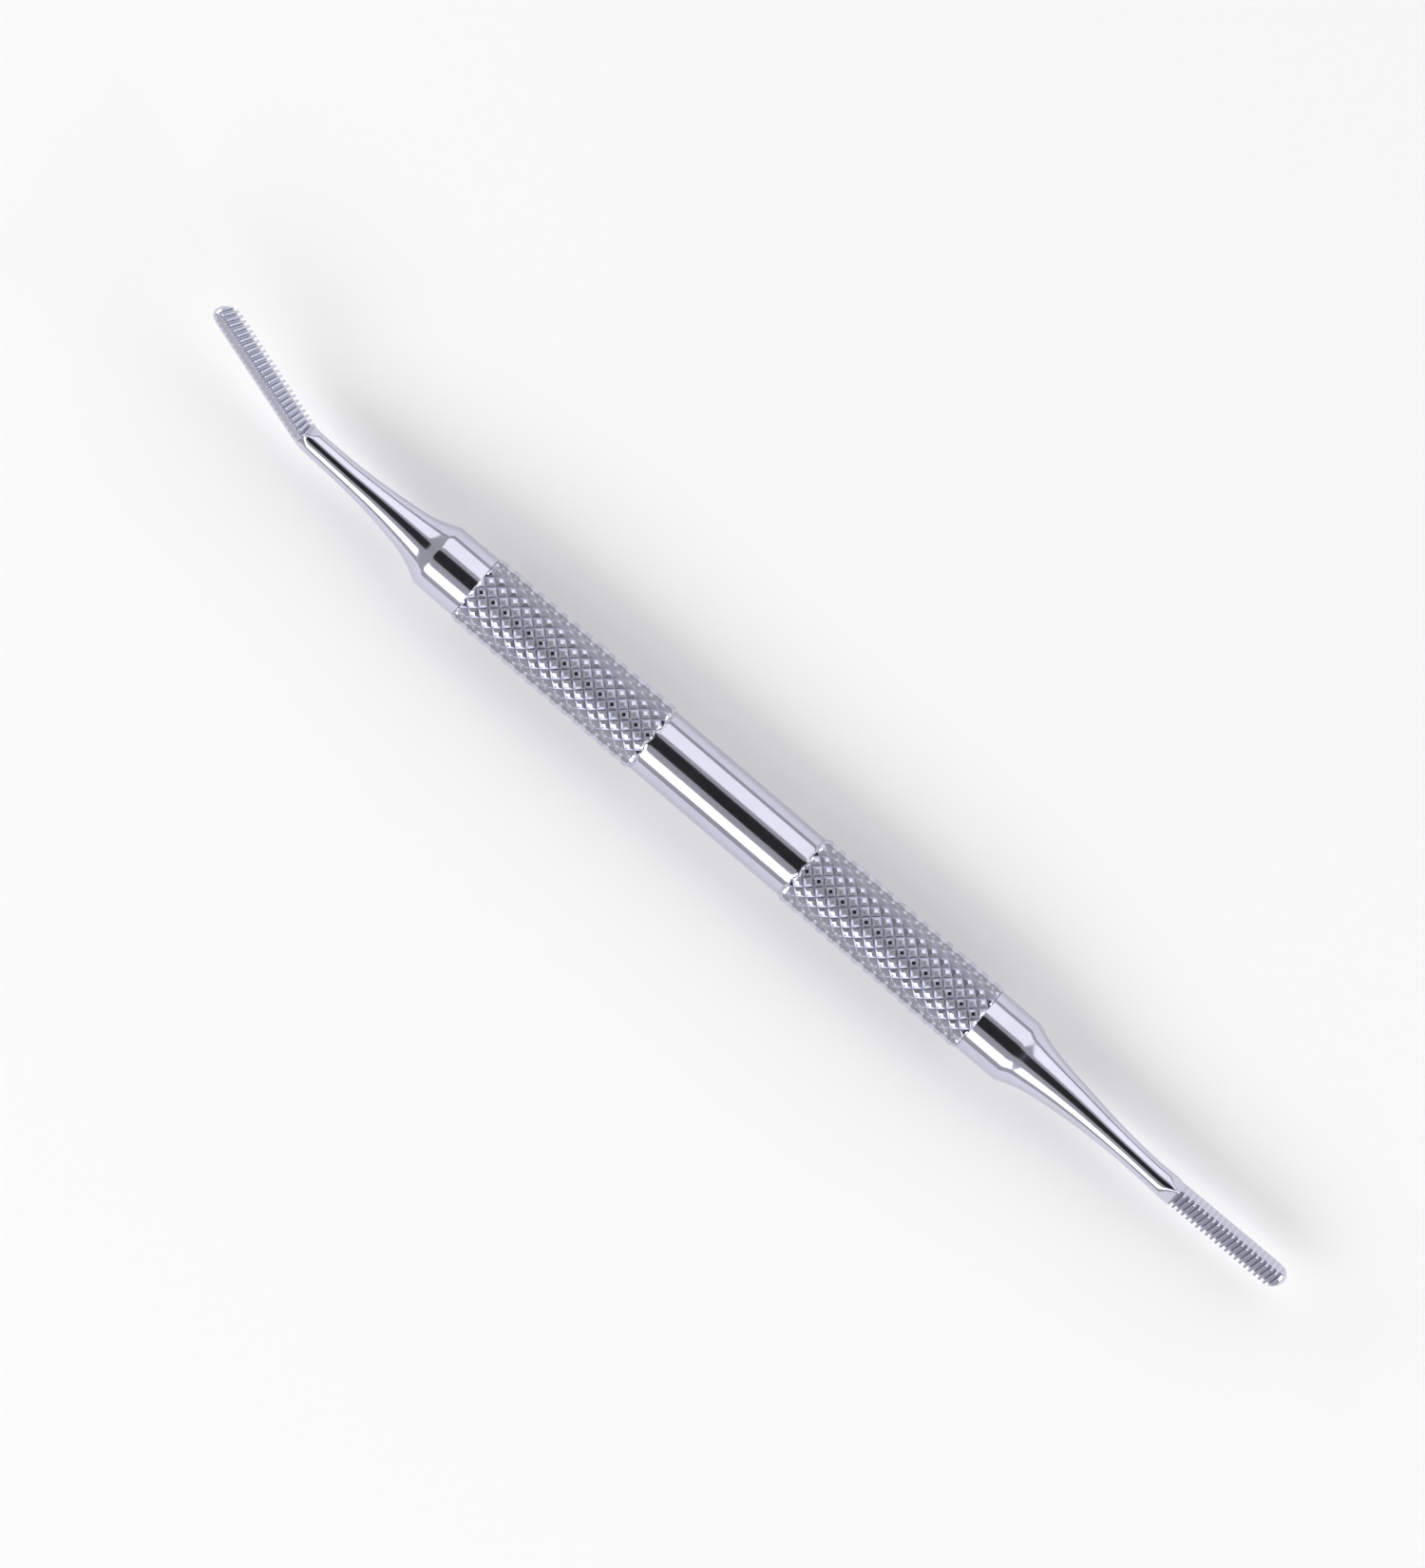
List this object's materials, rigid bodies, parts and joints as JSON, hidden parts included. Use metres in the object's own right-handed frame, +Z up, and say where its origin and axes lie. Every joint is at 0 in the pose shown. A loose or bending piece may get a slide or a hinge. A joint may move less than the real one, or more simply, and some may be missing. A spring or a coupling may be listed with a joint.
{
  "type": "clay modeling tool",
  "caption": "Double-ended steel rasp tool for shaping clay: hollow knurled handle, a tapered cone in each end, one straight and one angled toothed tip.",
  "frame": {"origin": "middle of the bounding box's underside, at the height of the surface that the knurled handle lies on", "axes": "+X along the handle towards the straight tip, +Z up, away from the surface it lies on; the angled tip rises towards +Y and +Z"},
  "size_m": [0.1474, 0.0098, 0.0101],
  "materials": {
    "knurled_steel": "satin",
    "polished_steel": "polished",
    "rasp_steel": "gloss"
  },
  "bodies": {
    "root": {"handle_tube": "knurled_steel", "end_cone_angled": "polished_steel", "end_cone_straight": "polished_steel", "rasp_tip_angled": "rasp_steel", "rasp_tip_straight": "rasp_steel"}
  },
  "joints": []
}
